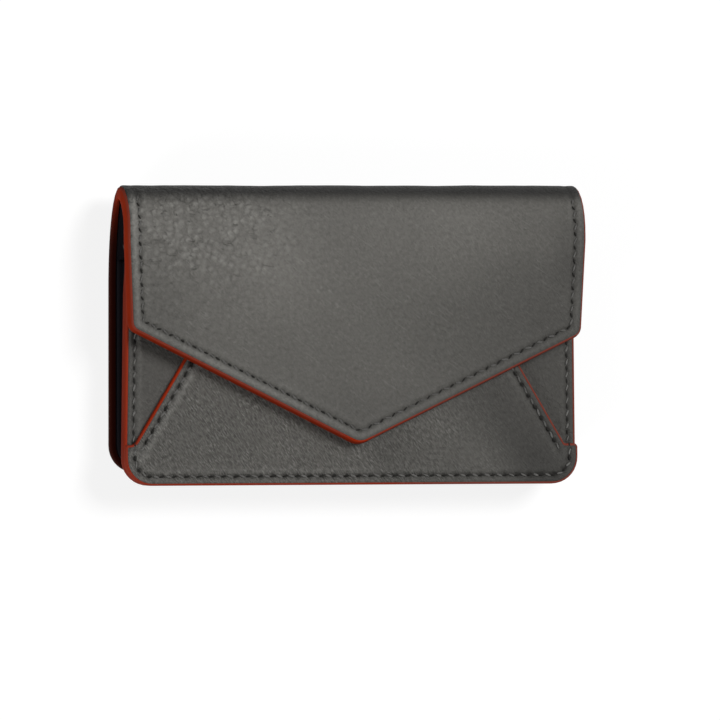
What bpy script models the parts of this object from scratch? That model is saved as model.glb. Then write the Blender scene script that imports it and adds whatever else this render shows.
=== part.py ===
# Leather business card holder with an envelope flap, lying on its back.
# X runs across the case, +Y points to the fold at its top, +Z points out of its front.
# The origin is on the surface that the back rests on, at the centre of the case.

import math

import bmesh
import bpy
from mathutils import Matrix, Vector

# Overall size of the closed case
CASE_WIDTH = 0.110
CASE_HEIGHT = 0.0686
CASE_DEPTH = 0.016

# Plies of the back, the flap and the pocket front, from the outside in
LEATHER_THICKNESS = 0.0008
CORE_THICKNESS = 0.0008
LINING_THICKNESS = 0.0004
PLY_GAP = 0.0002
EDGE_LIP = 0.0004

# The back stops short of the pocket front's lower edge
BACK_RISE = 0.0029

# Fold that joins the back to the flap
FOLD_REACH = 0.0105
FOLD_SPLIT = 0.0003
HINGE_CLEARANCE = 0.0002

# Flap, measured up from the bottom of the case
FLAP_SHOULDER_HEIGHT = 0.0357
FLAP_TIP_HEIGHT = 0.0089
FLAP_SHOULDER_RADIUS = 0.003
FLAP_TIP_RADIUS = 0.0045
FLAP_GAP = 0.0012

# The flap's sides draw in from a height just below the fold to the shoulders
FLAP_TAPER = 0.0008
FLAP_TAPER_HEIGHT = 0.0560

# Pocket. Its front is a little narrower than the back and the flap
FRONT_INSET = 0.0008
POCKET_HEIGHT = 0.0523
PANEL_CORNER_RADIUS = 0.0062
MOUTH_CORNER_RADIUS = 0.0015

# Envelope panel sewn over the pocket front
ENVELOPE_LEATHER_THICKNESS = 0.0007
ENVELOPE_CORE_THICKNESS = 0.0004
ENVELOPE_SIDE_HEIGHT = 0.0093
ENVELOPE_FLARE_WIDTH = 0.0021
ENVELOPE_FLARE_RADIUS = 0.0022
ENVELOPE_SIDE_RADIUS = 0.0005
ENVELOPE_MOUTH_INSET = 0.0283

# Gusset between the back and the pocket front
GUSSET_THICKNESS = 0.0006
GUSSET_SEAM = 0.003
GUSSET_FOLD_DEPTH = 0.0072
GUSSET_EDGE_INSET = 0.0006
GUSSET_CORNER_RADIUS = 0.001

# Magnetic snap
SNAP_HEIGHT = 0.0215
SNAP_RADIUS = 0.007
SNAP_FLANGE_THICKNESS = 0.0008
SNAP_BODY_RADIUS = 0.0062
SNAP_BORE_RADIUS = 0.0028
SNAP_BORE_DEPTH = 0.0022
SNAP_WALL = 0.0005
SNAP_CHAMFER = 0.0002
SNAP_CLEARANCE = 0.0003
MAGNET_HEIGHT = 0.0016

# Modelling allowances
OVERRUN = 0.002
WELD_DISTANCE = 0.000001
FOLD_STEPS = 14
CORNER_STEPS = 7
TURN_STEPS = 40
SMOOTH_DEGREES = 35

LEATHER_COLOR = (0.118, 0.114, 0.104, 1.0)
EDGE_COLOR = (0.36, 0.042, 0.016, 1.0)
LINING_COLOR = (0.012, 0.011, 0.014, 1.0)
METAL_COLOR = (0.42, 0.40, 0.38, 1.0)
MAGNET_COLOR = (0.10, 0.10, 0.105, 1.0)

# Levels worked out from the sizes above
HALF_WIDTH = CASE_WIDTH / 2
HALF_HEIGHT = CASE_HEIGHT / 2
HALF_FRONT = HALF_WIDTH - FRONT_INSET
MID_DEPTH = CASE_DEPTH / 2
CORE_LEVEL = LEATHER_THICKNESS + PLY_GAP
LINING_LEVEL = CORE_LEVEL + CORE_THICKNESS + PLY_GAP
SHEET_THICKNESS = LINING_LEVEL + LINING_THICKNESS
FLAP_UNDERSIDE = CASE_DEPTH - SHEET_THICKNESS
ENVELOPE_FACE = FLAP_UNDERSIDE - FLAP_GAP
ENVELOPE_CORE_FACE = ENVELOPE_FACE - ENVELOPE_LEATHER_THICKNESS - PLY_GAP
POCKET_FACE = ENVELOPE_CORE_FACE - ENVELOPE_CORE_THICKNESS - PLY_GAP
POCKET_UNDERSIDE = POCKET_FACE - SHEET_THICKNESS
FOLD_START = HALF_HEIGHT - FOLD_REACH
MOUTH = POCKET_HEIGHT - HALF_HEIGHT
SNAP_PLACE = SNAP_HEIGHT - HALF_HEIGHT


def clear_scene():
    for obj in list(bpy.data.objects):
        bpy.data.objects.remove(obj, do_unlink=True)


def new_collection(name):
    collection = bpy.data.collections.new(name)
    bpy.context.scene.collection.children.link(collection)
    return collection


def new_material(name, color, roughness, metallic):
    material = bpy.data.materials.new(name)
    material.use_nodes = True
    shader = material.node_tree.nodes["Principled BSDF"]
    shader.inputs["Base Color"].default_value = color
    shader.inputs["Roughness"].default_value = roughness
    shader.inputs["Metallic"].default_value = metallic
    material.diffuse_color = color
    return material


# Outlines. A corner is (x, y, radius), and a closed outline runs anticlockwise.
def corner_arc(before, corner, after):
    """Points of the round at a corner, or the corner itself where it is sharp."""
    point = Vector(corner[:2])
    radius = corner[2]
    to_before = (Vector(before[:2]) - point).normalized()
    to_after = (Vector(after[:2]) - point).normalized()
    half_angle = to_before.angle(to_after) / 2
    if radius <= 0:
        return [point]
    reach = radius / math.tan(half_angle)
    centre = point + (to_before + to_after).normalized() * (radius / math.sin(half_angle))
    first = point + to_before * reach - centre
    last = point + to_after * reach - centre
    sweep = first.angle_signed(last)
    arc = []
    for step in range(CORNER_STEPS + 1):
        turn = Matrix.Rotation(-sweep * step / CORNER_STEPS, 2)
        arc.append(centre + turn @ first)
    return arc


def closed_outline(corners):
    points = []
    for index, corner in enumerate(corners):
        points += corner_arc(corners[index - 1], corner, corners[(index + 1) % len(corners)])
    return points


def open_path(corners):
    points = [Vector(corners[0][:2])]
    for before, corner, after in zip(corners, corners[1:], corners[2:]):
        points += corner_arc(before, corner, after)
    return points + [Vector(corners[-1][:2])]


def inset(corners, distance):
    """The same corners moved inside the outline by one distance on every side."""
    moved = []
    for index, corner in enumerate(corners):
        point = Vector(corner[:2])
        before = (point - Vector(corners[index - 1][:2])).normalized()
        after = (Vector(corners[(index + 1) % len(corners)][:2]) - point).normalized()
        side = Vector((-before.y, before.x)) + Vector((-after.y, after.x))
        shift = side * (distance / (1 + before.dot(after)))
        outward = before.x * after.y - before.y * after.x > 0
        radius = corner[2] - distance if outward else corner[2] + distance
        moved.append((point.x + shift.x, point.y + shift.y, max(radius, 0) if corner[2] else 0))
    return moved


def back_corners(distance):
    """The back panel, run on past the fold's crest."""
    top = HALF_HEIGHT + OVERRUN
    bottom = BACK_RISE - HALF_HEIGHT
    corners = [
        (-HALF_WIDTH, bottom, PANEL_CORNER_RADIUS),
        (HALF_WIDTH, bottom, PANEL_CORNER_RADIUS),
        (HALF_WIDTH, top, 0),
        (-HALF_WIDTH, top, 0),
    ]
    return inset(corners, distance)


def flap_corners(distance):
    """The flap with its two shoulders and its tip, run on past the fold's crest."""
    top = HALF_HEIGHT + OVERRUN
    taper = FLAP_TAPER_HEIGHT - HALF_HEIGHT
    shoulder = FLAP_SHOULDER_HEIGHT - HALF_HEIGHT
    half_shoulder = HALF_WIDTH - FLAP_TAPER
    corners = [
        (-half_shoulder, shoulder, FLAP_SHOULDER_RADIUS),
        (0, FLAP_TIP_HEIGHT - HALF_HEIGHT, FLAP_TIP_RADIUS),
        (half_shoulder, shoulder, FLAP_SHOULDER_RADIUS),
        (HALF_WIDTH, taper, 0),
        (HALF_WIDTH, top, 0),
        (-HALF_WIDTH, top, 0),
        (-HALF_WIDTH, taper, 0),
    ]
    return inset(corners, distance)


def pocket_corners(distance):
    corners = [
        (-HALF_FRONT, -HALF_HEIGHT, PANEL_CORNER_RADIUS),
        (HALF_FRONT, -HALF_HEIGHT, PANEL_CORNER_RADIUS),
        (HALF_FRONT, MOUTH, MOUTH_CORNER_RADIUS),
        (-HALF_FRONT, MOUTH, MOUTH_CORNER_RADIUS),
    ]
    return inset(corners, distance)


def envelope_corners(distance):
    """The panel whose slanting sides show below the flap, flared out to the case's sides."""
    side_top = ENVELOPE_SIDE_HEIGHT - HALF_HEIGHT
    flare = HALF_FRONT - ENVELOPE_FLARE_WIDTH
    mouth = HALF_FRONT - ENVELOPE_MOUTH_INSET
    corners = [
        (-HALF_FRONT, -HALF_HEIGHT, PANEL_CORNER_RADIUS),
        (HALF_FRONT, -HALF_HEIGHT, PANEL_CORNER_RADIUS),
        (HALF_FRONT, side_top, ENVELOPE_SIDE_RADIUS),
        (flare, side_top, ENVELOPE_FLARE_RADIUS),
        (mouth, MOUTH, 0),
        (-mouth, MOUTH, 0),
        (-flare, side_top, ENVELOPE_FLARE_RADIUS),
        (-HALF_FRONT, side_top, ENVELOPE_SIDE_RADIUS),
    ]
    return inset(corners, distance)


def prism(name, points, low, high, collection, matrix=None):
    """A flat outline drawn as a 2D curve, extruded between two levels and made a mesh."""
    curve = bpy.data.curves.new(name, "CURVE")
    curve.dimensions = "2D"
    curve.fill_mode = "BOTH"
    curve.extrude = (high - low) / 2
    spline = curve.splines.new("POLY")
    spline.points.add(len(points) - 1)
    for target, point in zip(spline.points, points):
        target.co = (point[0], point[1], 0, 1)
    spline.use_cyclic_u = True
    drawn = bpy.data.objects.new(name + "_curve", curve)
    collection.objects.link(drawn)
    bpy.context.view_layer.update()
    graph = bpy.context.evaluated_depsgraph_get()
    mesh = bpy.data.meshes.new_from_object(drawn.evaluated_get(graph))
    bpy.data.objects.remove(drawn, do_unlink=True)
    work = bmesh.new()
    work.from_mesh(mesh)
    bmesh.ops.translate(work, verts=work.verts, vec=(0, 0, (high + low) / 2))
    bmesh.ops.remove_doubles(work, verts=work.verts, dist=WELD_DISTANCE)
    if matrix:
        bmesh.ops.transform(work, matrix=matrix, verts=work.verts)
    bmesh.ops.recalc_face_normals(work, faces=work.faces)
    work.to_mesh(mesh)
    work.free()
    mesh.name = name
    obj = bpy.data.objects.new(name, mesh)
    collection.objects.link(obj)
    return obj


def hide_cutter(obj):
    obj.hide_render = True
    obj.display_type = "WIRE"


def add_boolean(obj, cutter, operation):
    modifier = obj.modifiers.new(cutter.name, "BOOLEAN")
    modifier.operation = operation
    modifier.object = cutter
    modifier.solver = "EXACT"


def finish(obj, material):
    obj.data.materials.clear()
    obj.data.materials.append(material)
    obj.data.shade_smooth()
    obj.data.set_sharp_from_angle(angle=math.radians(SMOOTH_DEGREES))


# The bent plies. Each is a side profile run across the case and trimmed to its outline.
def fold_curve(depth):
    """Half of the side profile at one depth under the surface, from the bottom to the crest."""
    reach = FOLD_REACH - depth
    rise = MID_DEPTH - depth
    points = [(-HALF_HEIGHT - OVERRUN, depth)]
    last = math.asin(FOLD_SPLIT / 2 / rise)
    for step in range(FOLD_STEPS + 1):
        angle = math.pi / 2 - (math.pi / 2 - last) * step / FOLD_STEPS
        points.append((FOLD_START + reach * math.cos(angle), MID_DEPTH - rise * math.sin(angle)))
    return points


def bent_ply(name, corners, outer, thickness, is_flap, parts, cutters):
    profile = fold_curve(outer) + fold_curve(outer + thickness)[::-1]
    if is_flap:
        profile = [(y, CASE_DEPTH - z) for y, z in profile][::-1]
    along_x = Matrix.Rotation(math.pi / 2, 4, "Z") @ Matrix.Rotation(math.pi / 2, 4, "X")
    reach = HALF_WIDTH + OVERRUN
    ply = prism(name, profile, -reach, reach, parts, along_x)
    trim = prism(name + "_trim", closed_outline(corners), -OVERRUN, CASE_DEPTH + OVERRUN, cutters)
    hide_cutter(trim)
    add_boolean(ply, trim, "INTERSECT")
    return ply


def flat_ply(name, corners, face, thickness, parts):
    return prism(name, closed_outline(corners), face - thickness, face, parts)


def snap_hole(name, radius, low, high, cutters):
    """A round hole through the plies where the snap sits."""
    bpy.ops.mesh.primitive_cylinder_add(
        vertices=TURN_STEPS,
        radius=radius,
        depth=high - low,
        location=(0, SNAP_PLACE, (high + low) / 2),
    )
    hole = bpy.context.object
    hole.name = name
    for collection in list(hole.users_collection):
        collection.objects.unlink(hole)
    cutters.objects.link(hole)
    hide_cutter(hole)
    return hole


def turned(name, profile, parts):
    """A closed side profile of (radius, z) turned about the snap's axis."""
    mesh = bpy.data.meshes.new(name)
    work = bmesh.new()
    corners = [work.verts.new((radius, 0, z)) for radius, z in profile]
    for first, second in zip(corners, corners[1:]):
        work.edges.new((first, second))
    if profile[0][0] > 0:
        work.edges.new((corners[-1], corners[0]))
    work.to_mesh(mesh)
    work.free()
    obj = bpy.data.objects.new(name, mesh)
    obj.location = (0, SNAP_PLACE, 0)
    parts.objects.link(obj)
    screw = obj.modifiers.new("turn", "SCREW")
    screw.axis = "Z"
    screw.steps = TURN_STEPS
    screw.render_steps = TURN_STEPS
    screw.use_merge_vertices = True
    screw.merge_threshold = WELD_DISTANCE
    screw.use_smooth_shade = True
    return obj


# The gusset is a strip that goes in from the edge of the back, folds,
# and comes out to the pocket's edge.
def gusset_row(distance, level, rise):
    side = HALF_FRONT - GUSSET_EDGE_INSET - distance
    bottom = rise - HALF_HEIGHT + GUSSET_EDGE_INSET + distance
    radius = max(PANEL_CORNER_RADIUS - GUSSET_EDGE_INSET - distance, GUSSET_CORNER_RADIUS)
    top = MOUTH - EDGE_LIP
    path = open_path([(-side, top, 0), (-side, bottom, radius), (side, bottom, radius), (side, top, 0)])
    return [(point.x, point.y, level) for point in path]


def gusset_strip(parts):
    low = SHEET_THICKNESS + PLY_GAP + GUSSET_THICKNESS / 2
    high = POCKET_UNDERSIDE - PLY_GAP - GUSSET_THICKNESS / 2
    middle = (low + high) / 2
    rows = [
        gusset_row(0, low, BACK_RISE),
        gusset_row(GUSSET_SEAM, low, BACK_RISE),
        gusset_row(GUSSET_FOLD_DEPTH, middle, BACK_RISE / 2),
        gusset_row(GUSSET_SEAM, high, 0),
        gusset_row(0, high, 0),
    ]
    mesh = bpy.data.meshes.new("gusset")
    work = bmesh.new()
    lines = [[work.verts.new(point) for point in row] for row in rows]
    for first, second in zip(lines, lines[1:]):
        for index in range(len(first) - 1):
            work.faces.new((first[index], first[index + 1], second[index + 1], second[index]))
    bmesh.ops.recalc_face_normals(work, faces=work.faces)
    work.to_mesh(mesh)
    work.free()
    strip = bpy.data.objects.new("gusset", mesh)
    parts.objects.link(strip)
    solidify = strip.modifiers.new("thickness", "SOLIDIFY")
    solidify.thickness = GUSSET_THICKNESS
    solidify.offset = 0
    solidify.use_even_offset = True
    return strip


def snap_socket(parts):
    """The pressed cup that shows on the envelope panel, open behind for its magnet."""
    top = ENVELOPE_CORE_FACE + SNAP_CLEARANCE + SNAP_FLANGE_THICKNESS
    under_flange = top - SNAP_FLANGE_THICKNESS
    back = POCKET_UNDERSIDE + LINING_THICKNESS + PLY_GAP
    bore_floor = top - SNAP_BORE_DEPTH
    cavity_roof = under_flange - SNAP_WALL
    inner_wall = SNAP_BORE_RADIUS + SNAP_WALL
    outer_wall = SNAP_BODY_RADIUS - SNAP_WALL
    profile = [
        (0, bore_floor),
        (SNAP_BORE_RADIUS, bore_floor),
        (SNAP_BORE_RADIUS, top - SNAP_CHAMFER),
        (SNAP_BORE_RADIUS + SNAP_CHAMFER, top),
        (SNAP_RADIUS - SNAP_CHAMFER, top),
        (SNAP_RADIUS, top - SNAP_CHAMFER),
        (SNAP_RADIUS, under_flange),
        (SNAP_BODY_RADIUS, under_flange),
        (SNAP_BODY_RADIUS, back),
        (outer_wall, back),
        (outer_wall, cavity_roof),
        (inner_wall, cavity_roof),
        (inner_wall, bore_floor - SNAP_WALL),
        (0, bore_floor - SNAP_WALL),
    ]
    return turned("snap_socket", profile, parts), cavity_roof


def snap_magnet(cavity_roof, parts):
    top = cavity_roof - SNAP_CLEARANCE
    inner = SNAP_BORE_RADIUS + SNAP_WALL + SNAP_CLEARANCE
    outer = SNAP_BODY_RADIUS - SNAP_WALL - SNAP_CLEARANCE
    profile = [
        (outer, top),
        (outer, top - MAGNET_HEIGHT),
        (inner, top - MAGNET_HEIGHT),
        (inner, top),
    ]
    return turned("snap_magnet", profile, parts)


def snap_stud(parts):
    """The disc on the flap's underside, with the nub that drops into the socket's bore."""
    seat = CASE_DEPTH - LINING_LEVEL + PLY_GAP - SNAP_CLEARANCE
    face = seat - SNAP_FLANGE_THICKNESS
    socket_top = ENVELOPE_CORE_FACE + SNAP_CLEARANCE + SNAP_FLANGE_THICKNESS
    nub_radius = SNAP_BORE_RADIUS - SNAP_CLEARANCE
    nub_end = socket_top - SNAP_BORE_DEPTH + SNAP_CLEARANCE
    profile = [
        (0, seat),
        (SNAP_RADIUS, seat),
        (SNAP_RADIUS, face + SNAP_CHAMFER),
        (SNAP_RADIUS - SNAP_CHAMFER, face),
        (nub_radius, face),
        (nub_radius, nub_end + SNAP_CHAMFER),
        (nub_radius - SNAP_CHAMFER, nub_end),
        (0, nub_end),
    ]
    return turned("snap_stud", profile, parts)


def build():
    clear_scene()
    parts = new_collection("business_card_holder")
    cutters = new_collection("cutters")
    leather = new_material("grey_leather", LEATHER_COLOR, 0.55, 0.0)
    edge = new_material("red_edge", EDGE_COLOR, 0.4, 0.0)
    lining = new_material("black_lining", LINING_COLOR, 0.85, 0.0)
    metal = new_material("nickel", METAL_COLOR, 0.3, 1.0)
    magnet = new_material("magnet", MAGNET_COLOR, 0.45, 1.0)

    finishes = {}
    sheet = (
        ("leather", EDGE_LIP, 0, LEATHER_THICKNESS, leather),
        ("core", 0, CORE_LEVEL, CORE_THICKNESS, edge),
        ("lining", EDGE_LIP, LINING_LEVEL, LINING_THICKNESS, lining),
    )
    plies = {}
    for ply, lip, level, thickness, material in sheet:
        back = bent_ply("back_" + ply, back_corners(lip), level, thickness, False, parts, cutters)
        flap = bent_ply("flap_" + ply, flap_corners(lip), level, thickness, True, parts, cutters)
        face = POCKET_FACE - level
        pocket = flat_ply("pocket_" + ply, pocket_corners(lip), face, thickness, parts)
        for obj in (back, flap, pocket):
            plies[obj.name] = obj
            finishes[obj.name] = material

    envelope_leather = flat_ply(
        "envelope_leather",
        envelope_corners(EDGE_LIP),
        ENVELOPE_FACE,
        ENVELOPE_LEATHER_THICKNESS,
        parts,
    )
    envelope_core = flat_ply(
        "envelope_core",
        envelope_corners(0),
        ENVELOPE_CORE_FACE,
        ENVELOPE_CORE_THICKNESS,
        parts,
    )
    plies["envelope_leather"] = envelope_leather
    plies["envelope_core"] = envelope_core
    finishes["envelope_leather"] = leather
    finishes["envelope_core"] = edge

    flange_hole = SNAP_RADIUS + SNAP_CLEARANCE
    body_hole = SNAP_BODY_RADIUS + SNAP_CLEARANCE
    over_core = ENVELOPE_CORE_FACE + PLY_GAP / 2
    over_pocket_lining = POCKET_UNDERSIDE + LINING_THICKNESS + PLY_GAP / 2
    over_flap_lining = CASE_DEPTH - LINING_LEVEL + PLY_GAP / 2
    upper = snap_hole("envelope_hole", flange_hole, over_core, ENVELOPE_FACE + OVERRUN, cutters)
    lower = snap_hole("pocket_hole", body_hole, over_pocket_lining, ENVELOPE_FACE, cutters)
    above = snap_hole("flap_hole", flange_hole, FLAP_UNDERSIDE - OVERRUN, over_flap_lining, cutters)
    add_boolean(plies["envelope_leather"], upper, "DIFFERENCE")
    for name in ("envelope_core", "pocket_leather", "pocket_core"):
        add_boolean(plies[name], lower, "DIFFERENCE")
    add_boolean(plies["flap_lining"], above, "DIFFERENCE")

    gusset = gusset_strip(parts)
    socket, cavity_roof = snap_socket(parts)
    ring = snap_magnet(cavity_roof, parts)
    stud = snap_stud(parts)
    finishes["gusset"] = lining
    finishes["snap_socket"] = metal
    finishes["snap_magnet"] = magnet
    finishes["snap_stud"] = metal
    for obj in (gusset, socket, ring, stud):
        plies[obj.name] = obj
    for name, obj in plies.items():
        finish(obj, finishes[name])

    hinge = bpy.data.objects.new("flap_hinge", None)
    hinge.location = (0, HALF_HEIGHT + HINGE_CLEARANCE, MID_DEPTH)
    hinge.empty_display_size = FOLD_REACH
    parts.objects.link(hinge)
    bpy.context.view_layer.update()
    for name in ("flap_leather", "flap_core", "flap_lining", "snap_stud"):
        plies[name].parent = hinge
        plies[name].matrix_parent_inverse = hinge.matrix_world.inverted()


build()
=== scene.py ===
import math

import bpy
import numpy as np
from mathutils import Matrix, noise, Vector


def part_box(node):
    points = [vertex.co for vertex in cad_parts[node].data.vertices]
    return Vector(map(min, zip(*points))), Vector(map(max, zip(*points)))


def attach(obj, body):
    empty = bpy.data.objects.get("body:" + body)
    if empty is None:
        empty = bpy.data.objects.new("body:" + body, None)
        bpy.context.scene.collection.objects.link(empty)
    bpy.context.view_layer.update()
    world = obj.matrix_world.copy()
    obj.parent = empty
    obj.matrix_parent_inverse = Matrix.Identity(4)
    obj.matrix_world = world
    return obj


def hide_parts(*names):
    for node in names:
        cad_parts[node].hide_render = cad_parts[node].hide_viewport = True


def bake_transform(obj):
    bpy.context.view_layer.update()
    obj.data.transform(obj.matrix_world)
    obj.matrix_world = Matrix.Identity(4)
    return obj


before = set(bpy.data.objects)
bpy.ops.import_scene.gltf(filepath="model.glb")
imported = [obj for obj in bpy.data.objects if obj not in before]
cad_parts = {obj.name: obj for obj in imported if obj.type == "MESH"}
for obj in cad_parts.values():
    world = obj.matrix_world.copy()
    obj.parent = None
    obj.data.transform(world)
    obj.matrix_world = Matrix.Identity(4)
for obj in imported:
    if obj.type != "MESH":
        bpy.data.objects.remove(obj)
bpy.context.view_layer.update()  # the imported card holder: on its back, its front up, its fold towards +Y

mm = 0.001

# measures of the case: some taken from the imported model, the rest given
case = {
    "halfWidth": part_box("back_core")[1].x,
    "frontHalf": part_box("pocket_core")[1].x,  # the pocket's front is a little narrower
    "foot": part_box("pocket_core")[0].y,  # lowest edge of the pocket's front
    "backFoot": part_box("back_core")[0].y,  # lowest edge of the back
    "mouth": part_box("pocket_core")[1].y,  # upper edge of the pocket
    "tip": -25.4 * mm,  # where the flap's slanting edges would meet
    "shoulder": 1.4 * mm,  # where the flap's sides end
    "shoulderHalf": 54.2 * mm,
    "taper": 21.7 * mm,  # from here down the flap's sides draw in
    "envelopeSide": -25.0 * mm,  # top of the envelope's short sides
    "flare": 52.1 * mm,  # where its slanting edges turn out to the sides
    "envelopeMouth": 25.9 * mm,
    "rightLean": 0.6 * mm,  # the right slanting edge was cut a little further in
    "tipShift": 0.8 * mm,  # the flap hangs a little askew
    "shoulderDrop": 1.5 * mm,
    "rightSpread": 0.7 * mm,  # and its right side stands out a little
    "foldReach": 10.5 * mm,  # how far the fold bulges past its start
    "foldStart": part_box("back_core")[1].y - 9.5 * mm,  # where the fold leaves the flat flap
    "backCurve": 13.0 * mm,  # and how much lower it runs out behind
    "depth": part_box("flap_leather")[1].z,
    "pocketFace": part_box("pocket_leather")[1].z,
    "envelopeFace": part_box("envelope_leather")[1].z,
}

# how round the corners are; the envelope's short sides end in an ear beside each flare
radii = {
    "foot": 6.2 * mm,
    "tip": 4.5 * mm,
    "shoulder": 3.0 * mm,
    "taper": 20.0 * mm,
    "pocketMouth": 1.5 * mm,
    "envelopeMouth": 0.8 * mm,
    "leftFlare": 2.2 * mm,
    "rightFlare": 0.4 * mm,
    "leftEar": 0.5 * mm,
    "rightEar": 0.9 * mm,
    "least": 0.3 * mm,
}

# small ways in which the cut pieces differ from their drawing
slips = {
    "rightShoulder": 0.3 * mm,
    "rightFoot": 0.4 * mm,
    "rightEar": 0.3 * mm,
    "rightFlare": 0.2 * mm,
    "rightMouth": 0.2 * mm,
    "leftMouth": 0.7 * mm,
}
print("case measured")


# small helpers
def work(mode):
    bpy.ops.object.mode_set(mode=mode)


def letGo():
    if bpy.context.object and bpy.context.object.mode != "OBJECT":
        work("OBJECT")
    bpy.ops.object.select_all(action="DESELECT")


def pick(obj):
    letGo()
    obj.select_set(True)
    bpy.context.view_layer.objects.active = obj
    return obj


# selects the faces that a mask names, and nothing else
def chooseFaces(obj, mask):
    pick(obj)
    bpy.context.tool_settings.mesh_select_mode = (False, False, True)
    obj.data.vertices.foreach_set("select", np.zeros(len(obj.data.vertices), dtype=bool))
    obj.data.edges.foreach_set("select", np.zeros(len(obj.data.edges), dtype=bool))
    obj.data.polygons.foreach_set("select", np.asarray(mask, dtype=bool))
    work("EDIT")


def readPoints(obj):
    flat = np.empty(len(obj.data.vertices) * 3)
    obj.data.vertices.foreach_get("co", flat)
    return flat.reshape(-1, 3)


def writePoints(obj, points):
    obj.data.vertices.foreach_set("co", np.ascontiguousarray(points, dtype=np.float32).ravel())
    obj.data.update()


def store(obj, name, values):
    values = np.asarray(values, dtype=np.float32)
    kind = "FLOAT" if values.ndim == 1 else "FLOAT_VECTOR"
    layer = obj.data.attributes.get(name) or obj.data.attributes.new(name, kind, "POINT")
    layer.data.foreach_set("value" if values.ndim == 1 else "vector", values.ravel())


# the place on the flat sheet, in millimetres, that the patterns of leather and lining run on
def storeFlat(obj, points):
    store(obj, "flat", np.column_stack([points[:, :2] / mm, np.zeros(len(points))]))


def recall(obj, name):
    values = np.empty(len(obj.data.vertices), dtype=np.float32)
    obj.data.attributes[name].data.foreach_get("value", values)
    return values


def ease(values, low, high):
    t = np.clip((np.asarray(values) - low) / (high - low), 0, 1)
    return t * t * (3 - 2 * t)


def hump(values, middle, width):
    return np.exp(-(((np.asarray(values) - middle) / width) ** 2))


# the same value for every point of a sheet, and for every place along a row
def even(value):
    return lambda points: np.full(len(points), value)


def steady(value):
    return lambda place: value


def faceOut(obj):
    pick(obj)
    work("EDIT")
    bpy.ops.mesh.select_all(action="SELECT")
    bpy.ops.mesh.normals_make_consistent(inside=False)
    work("OBJECT")


def smoothShade(obj, degrees):
    pick(obj)
    bpy.ops.object.shade_smooth_by_angle(angle=math.radians(degrees))


def applyModifier(obj, kind, settings):
    pick(obj)
    modifier = obj.modifiers.new("step", kind)
    for key, value in settings.items():
        setattr(modifier, key, value)
    bpy.ops.object.modifier_apply(modifier=modifier.name)


# outlines: corners run anticlockwise as (x, y, radius), and the outline comes back moved inwards by inset
def roundedOutline(corners, inset, steps=9):
    sides = []
    for here, there in zip(corners, corners[1:] + corners[:1]):
        start = np.array(here[:2])
        along = np.array(there[:2]) - start
        along /= np.linalg.norm(along)
        sides.append((start + np.array([-along[1], along[0]]) * inset, along))
    points = []
    for index, corner in enumerate(corners):
        (p, d), (q, e) = sides[index - 1], sides[index]
        crossing = d[0] * e[1] - d[1] * e[0]
        meet = p + d * (((q - p)[0] * e[1] - (q - p)[1] * e[0]) / crossing)
        turn = 1 if crossing > 0 else -1
        radius = max(corner[2] - turn * inset, radii["least"])
        half = math.acos(max(-1.0, min(1.0, float(d @ e)))) / 2
        start = meet - d * radius * math.tan(half)
        centre = start + np.array([-d[1], d[0]]) * turn * radius
        arm = start - centre
        for step in range(steps + 1):
            angle = turn * 2 * half * step / steps
            c, s = math.cos(angle), math.sin(angle)
            points.append(centre + np.array([c * arm[0] - s * arm[1], s * arm[0] + c * arm[1]]))
    return np.array(points)


# how far each point is from a closed outline, and its nearest place there: a side, and a share of it
def nearestOn(points, outline):
    best = np.full(len(points), 1e9)
    sides = np.zeros(len(points), dtype=int)
    shares = np.zeros(len(points))
    for index, (a, b) in enumerate(zip(outline, np.roll(outline, -1, axis=0))):
        along = b - a
        t = np.clip(((points - a) @ along) / max(along @ along, 1e-18), 0, 1)
        gap = np.linalg.norm(points - a - t[:, None] * along, axis=1)
        closer = gap < best
        best[closer], sides[closer], shares[closer] = gap[closer], index, t[closer]
    return best, sides, shares


# the same places on an outline that was moved in or out
def placeOn(outline, sides, shares):
    ends = outline[(sides + 1) % len(outline)]
    return outline[sides] + (ends - outline[sides]) * shares[:, None]


# points at an even pitch along an open line, each with its direction
def walk(line, pitch, lead):
    line = np.asarray(line)
    lengths = np.linalg.norm(np.diff(line, axis=0), axis=1)
    total = lengths.sum()
    count = max(2, round(total / pitch))
    marks = np.concatenate([[0], np.cumsum(lengths)])
    places = []
    for index in range(count):
        place = (index + lead) * total / count
        segment = min(int(np.searchsorted(marks, place, side="right")) - 1, len(lengths) - 1)
        share = (place - marks[segment]) / lengths[segment]
        ahead = (line[segment + 1] - line[segment]) / lengths[segment]
        places.append((line[segment] + share * (line[segment + 1] - line[segment]), ahead))
    return places


# the cover, drawn flat: its sheet runs from the flap's tip (v = 0) up to the fold, round it and down the back
fold = {"steps": 400, "reach": case["foldReach"], "half": case["depth"] / 2}
angles = np.linspace(0, math.pi, fold["steps"] + 1)


# the fold's section, a quarter ellipse in front of the crest and a longer one behind it
def foldAt(angle):
    lower = np.where(angle > math.pi / 2, case["backCurve"], 0)
    reach = fold["reach"] + lower
    y = case["foldStart"] - lower + reach * np.sin(angle)
    z = fold["half"] + fold["half"] * np.cos(angle)
    return y, z, np.sin(angle) / reach, np.cos(angle) / fold["half"]


foldLine = np.stack(foldAt(angles)[:2], axis=1)
foldMarks = np.concatenate([[0], np.cumsum(np.linalg.norm(np.diff(foldLine, axis=0), axis=1))])
foldLength = foldMarks[-1]
flapRun = case["foldStart"] - case["tip"]
backRun = case["foldStart"] - case["backCurve"] - case["backFoot"]
sheetLength = flapRun + foldLength + backRun

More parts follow.
